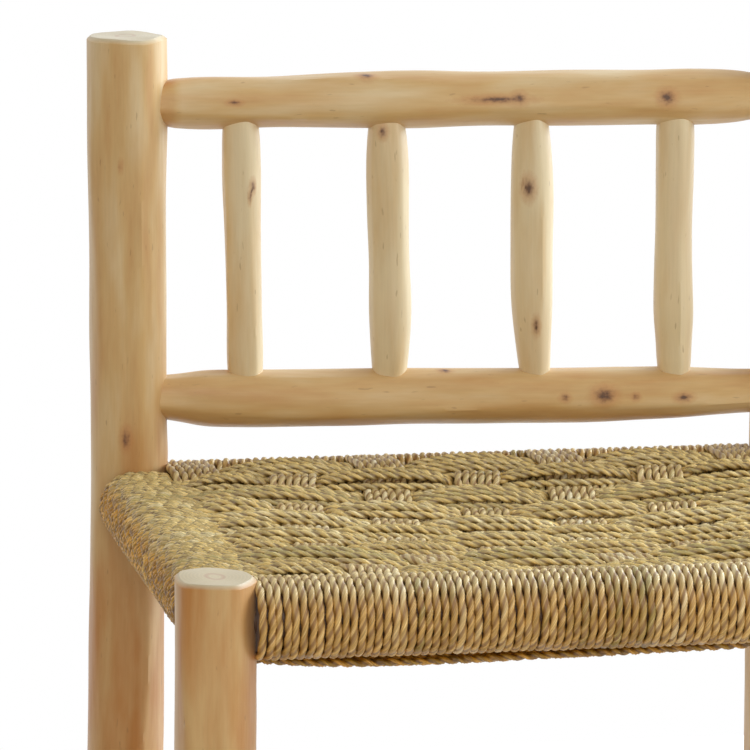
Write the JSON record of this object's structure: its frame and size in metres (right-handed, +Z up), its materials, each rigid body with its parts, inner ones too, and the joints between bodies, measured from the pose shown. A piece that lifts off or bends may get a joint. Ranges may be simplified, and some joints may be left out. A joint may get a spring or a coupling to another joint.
{
  "type": "chair",
  "caption": "Rustic low-backed side chair of peeled round poles with a spindle back and a woven rope seat",
  "frame": {"origin": "on the floor, under the middle of the chair's bounding box", "axes": "+X to the right of someone looking at the front, +Y to the rear, +Z up"},
  "size_m": [0.4863, 0.3957, 0.726],
  "materials": {
    "peeled_wood": "bare peeled light wood, lightly sanded",
    "seat_rope": "hand-twisted two-ply palm-leaf rope, natural straw and green"
  },
  "bodies": {
    "root": {"rear_post_left": "peeled_wood", "rear_post_right": "peeled_wood", "front_leg_left": "peeled_wood", "front_leg_right": "peeled_wood", "top_rail": "peeled_wood", "lower_back_rail": "peeled_wood", "back_spindle_1": "peeled_wood", "back_spindle_2": "peeled_wood", "back_spindle_3": "peeled_wood", "back_spindle_4": "peeled_wood", "seat_rail_front": "peeled_wood", "seat_rail_rear": "peeled_wood", "seat_rail_left": "peeled_wood", "seat_rail_right": "peeled_wood", "front_stretcher": "peeled_wood", "rear_stretcher": "peeled_wood", "high_side_stretcher_left": "peeled_wood", "high_side_stretcher_right": "peeled_wood", "low_side_stretcher_left": "peeled_wood", "low_side_stretcher_right": "peeled_wood", "seat_rope_front_to_back": "seat_rope", "seat_rope_side_to_side": "seat_rope"}
  },
  "joints": []
}
